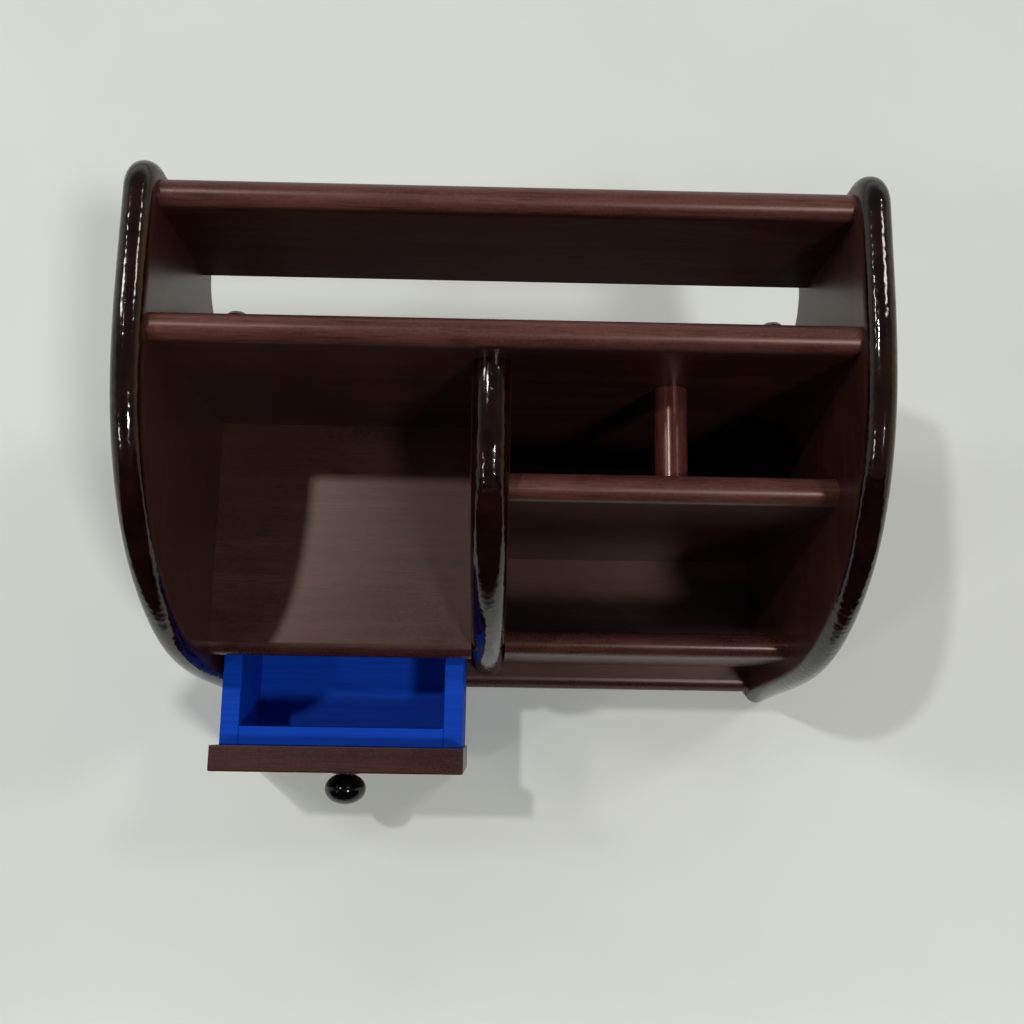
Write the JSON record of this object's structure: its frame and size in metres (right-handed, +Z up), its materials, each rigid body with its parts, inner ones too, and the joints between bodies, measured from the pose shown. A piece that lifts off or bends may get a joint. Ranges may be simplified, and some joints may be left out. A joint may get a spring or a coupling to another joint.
{
  "type": "pen stand with drawer",
  "caption": "Wooden desk stand with arched side panels, a pen well with a round bar, a front tray, a shelf over a sliding drawer and a letter slot at the back.",
  "frame": {"origin": "on the floor, under the base board, midway between the side panels and midway along their depth", "axes": "+X to the right seen from the front, +Y towards the back, +Z up"},
  "size_m": [0.301, 0.2598, 0.2255],
  "materials": {
    "lacquered_panel": "dark veneer with thick black gloss lacquer on the rounded edges",
    "dark_veneer": "satin dark red-brown veneer",
    "drawer_front_veneer": "satin dark red-brown veneer",
    "blue_paint": "satin royal blue paint",
    "black_knob": "high gloss black",
    "screw_steel": "zinc plated",
    "pin_wood": "raw beech"
  },
  "bodies": {
    "stand": {"side_panel_left": "lacquered_panel", "side_panel_right": "lacquered_panel", "divider": "lacquered_panel", "base_board": "dark_veneer", "shelf": "dark_veneer", "rear_wall": "dark_veneer", "back_board": "dark_veneer", "mid_board": "dark_veneer", "tray_lip": "dark_veneer", "pen_bar": "dark_veneer", "letter_peg_left": "dark_veneer", "letter_peg_right": "dark_veneer", "pins_base_board": "pin_wood", "pins_shelf": "pin_wood", "pins_rear_wall": "pin_wood", "pins_back_board": "pin_wood", "pins_mid_board": "pin_wood", "pins_tray_lip": "pin_wood", "pins_divider": "pin_wood"},
    "drawer": {"drawer_side_left": "blue_paint", "drawer_side_right": "blue_paint", "drawer_front_wall": "blue_paint", "drawer_back_wall": "blue_paint", "drawer_bottom": "blue_paint", "drawer_front_board": "drawer_front_veneer", "knob": "black_knob", "knob_screw": "screw_steel"}
  },
  "joints": [
    {"name": "drawer_slide", "type": "slide", "parent": "stand", "child": "drawer", "axis": [0, -1, 0], "range_m": [-0.042, 0.045]}
  ]
}
